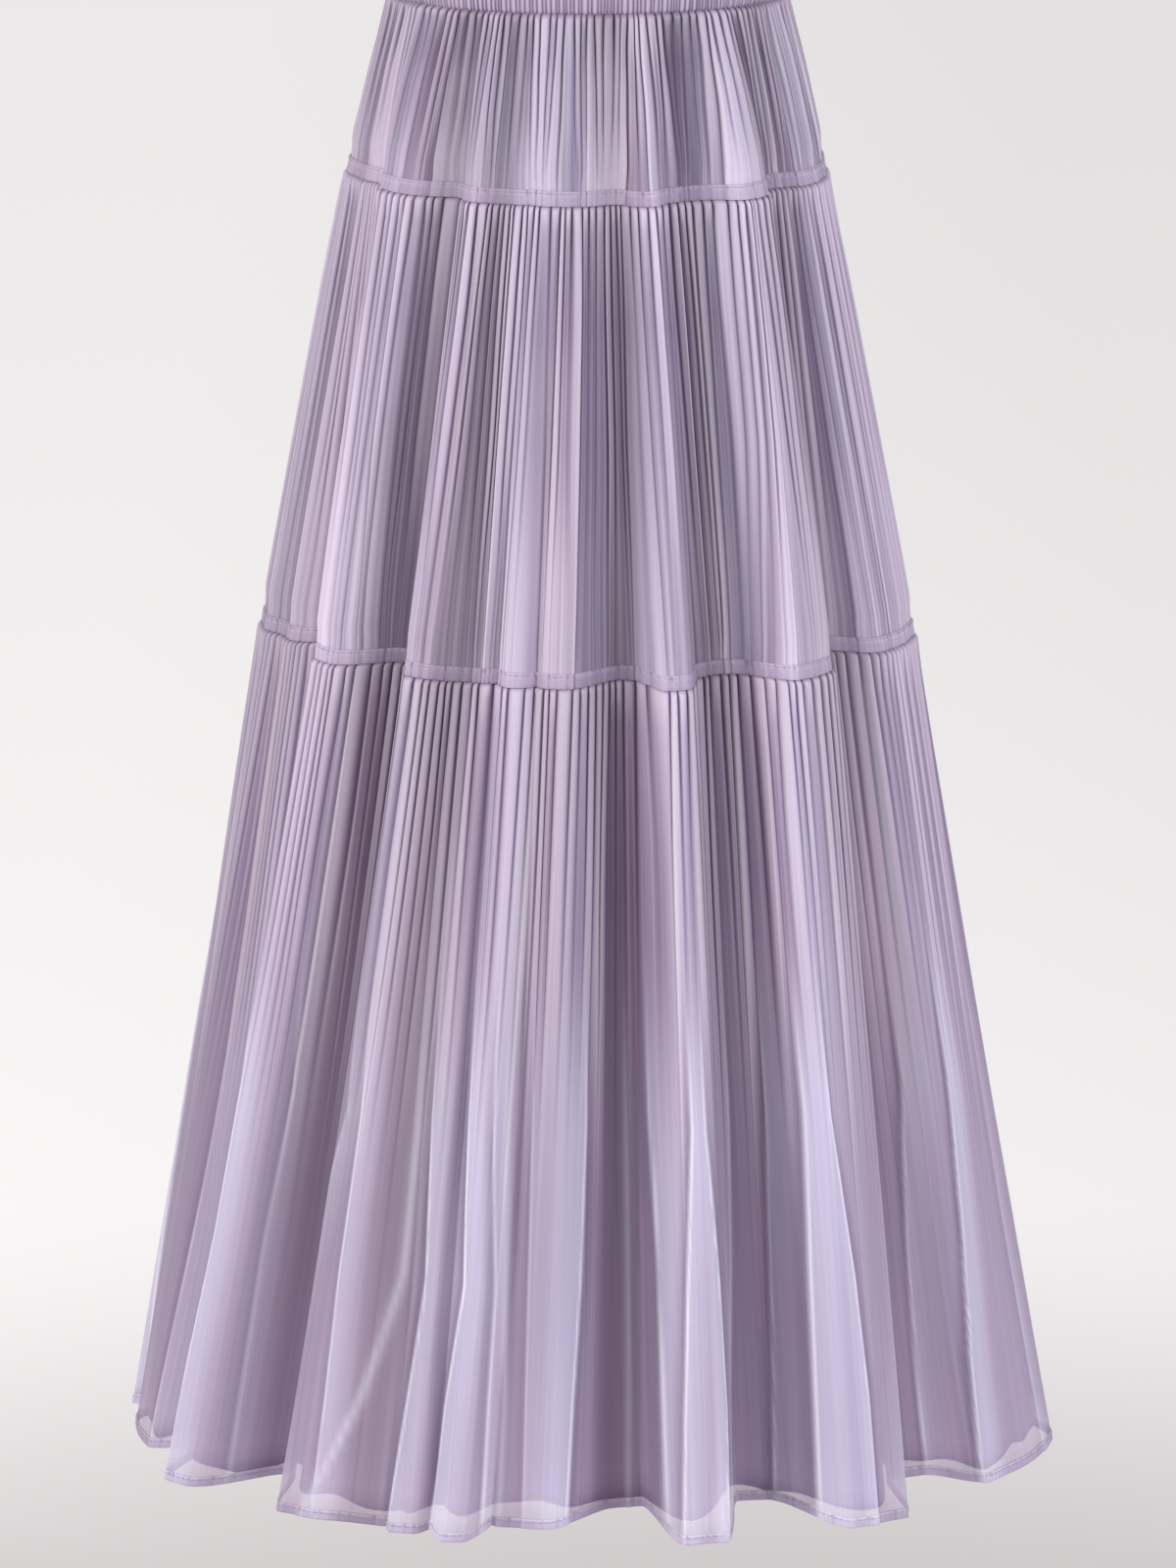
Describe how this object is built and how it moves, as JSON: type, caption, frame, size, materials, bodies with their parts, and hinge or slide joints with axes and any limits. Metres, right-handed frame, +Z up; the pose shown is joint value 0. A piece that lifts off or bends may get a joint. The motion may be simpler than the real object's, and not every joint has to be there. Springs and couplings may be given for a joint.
{
  "type": "tiered maxi skirt",
  "caption": "Ankle-length skirt with an elastic waistband, gathered sheer tiers that widen to the hem, and a plain A-line lining, hollow and hanging as worn.",
  "frame": {"origin": "centre of the waist opening, at half the height of the waistband", "axes": "+Z up, from the hem to the waist; -Y is the front that the picture shows, and +X is to the picture's right"},
  "size_m": [0.6047, 0.4943, 0.9856],
  "materials": {
    "chiffon": "sheer lavender chiffon, matte with a soft sheen",
    "casing": "lavender chiffon, finely shirred over elastic",
    "lining": "opaque lavender lining, soft satin"
  },
  "bodies": {
    "root": {"waistband_front": "casing", "tier_1_front": "chiffon", "tier_2_front": "chiffon", "tier_3_front": "chiffon", "tier_1_seam_band_front": "chiffon", "tier_2_seam_band_front": "chiffon", "hem_front": "chiffon", "lining_front": "lining", "waistband_back": "casing", "tier_1_back": "chiffon", "tier_2_back": "chiffon", "tier_3_back": "chiffon", "tier_1_seam_band_back": "chiffon", "tier_2_seam_band_back": "chiffon", "hem_back": "chiffon", "lining_back": "lining"}
  },
  "joints": []
}
